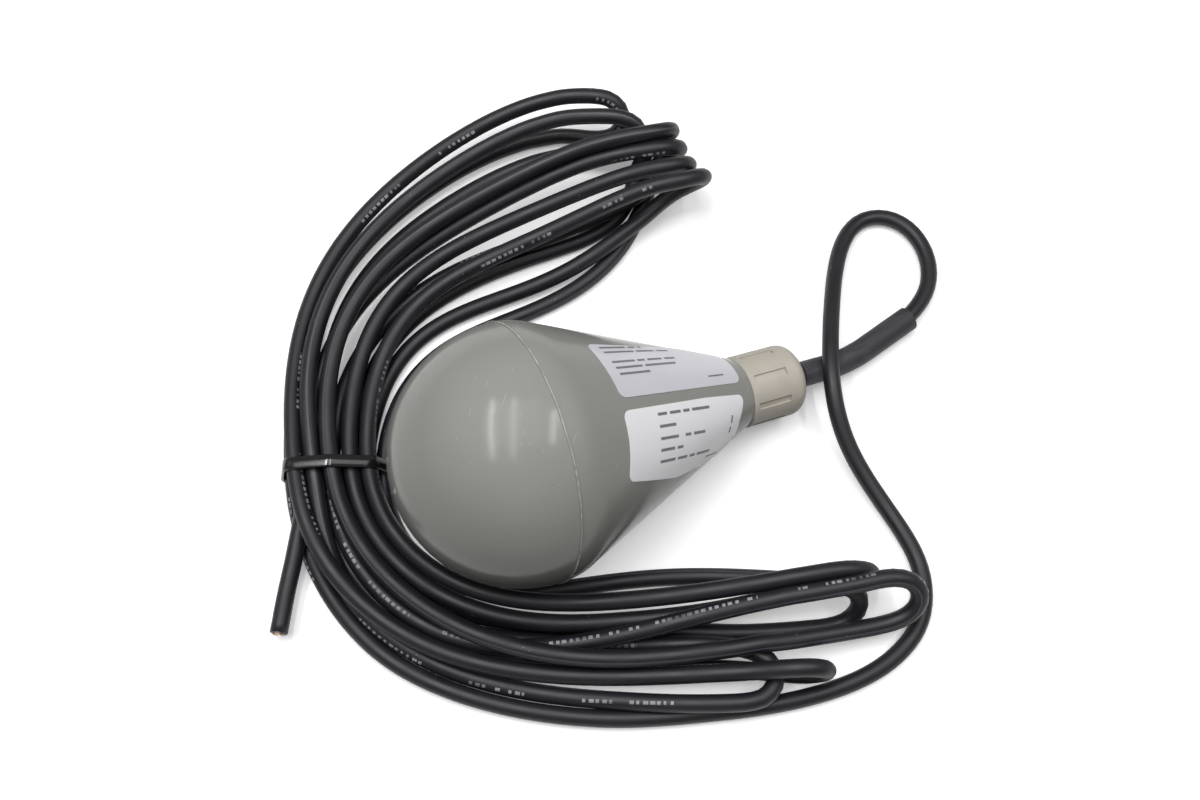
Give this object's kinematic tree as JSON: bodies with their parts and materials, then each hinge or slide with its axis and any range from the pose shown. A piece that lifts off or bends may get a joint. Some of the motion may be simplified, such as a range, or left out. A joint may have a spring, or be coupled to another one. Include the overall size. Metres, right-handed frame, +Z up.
{
  "type": "float switch",
  "caption": "Pear-shaped tilt float switch lying on its bulb, with a grooved cap nut, a sleeved cable tied in a hank round it, and a pendulum switch inside.",
  "frame": {"origin": "middle of the float's own footprint, on the surface it lies on", "axes": "+X along the float's axis in plan, from bulb to cable gland; +Z up"},
  "size_m": [0.3201, 0.297, 0.0998],
  "materials": {
    "casing": "satin moulded polypropylene",
    "nut": "satin moulded polyamide",
    "rubber": "matte, dusty",
    "cable": "matte",
    "nylon": "glossy nylon",
    "white_film": "satin printed film",
    "silver_film": "satin silver film",
    "core_brown": "insulation",
    "core_blue": "insulation",
    "core_black": "insulation",
    "carrier": "natural moulding",
    "iron": "as cast, oiled",
    "steel": "zinc plated",
    "brass": "plain",
    "switch_body": "moulded"
  },
  "bodies": {
    "casing": {"bulb_shell": "casing", "cone_shell": "casing", "gland_nut": "nut", "gland_seal": "rubber", "gland_washer": "carrier", "bend_sleeve": "rubber", "cable_lead": "cable", "cable_hank": "cable", "cable_tail": "cable", "cable_tie": "nylon", "label_white": "white_film", "label_silver": "silver_film", "inner_cable": "cable", "core_brown": "core_brown", "core_blue": "core_blue", "core_black": "core_black", "switch_carrier": "carrier", "ballast_ring": "iron", "carrier_screws": "steel", "pivot_pin": "steel", "pivot_clips": "steel", "switch_case": "switch_body", "lever_pin": "steel", "switch_terminals": "brass", "switch_screws": "steel"},
    "pendulum": {"pendulum_weight": "brass"},
    "lever": {"switch_lever": "steel"},
    "plunger": {"switch_plunger": "nylon"}
  },
  "joints": [
    {"name": "pendulum_swing", "type": "hinge", "parent": "casing", "child": "pendulum", "pos_m": [-0.03981, 0, 0.05114], "axis": [0, 1, 0], "range_deg": [0, 35]},
    {"name": "lever_tilt", "type": "hinge", "parent": "casing", "child": "lever", "pos_m": [-0.05253, 0, 0.06452], "axis": [0, 1, 0], "range_deg": [0, 6.89]},
    {"name": "plunger_press", "type": "slide", "parent": "casing", "child": "plunger", "axis": [-0.284, 0, -0.9588], "range_m": [0, 0.00093]}
  ],
  "couplings": [
    {"joint": "lever_tilt", "follows": "pendulum_swing", "ratio": 0.19534},
    {"joint": "plunger_press", "follows": "pendulum_swing", "m_per_rad": 0.0015059}
  ]
}
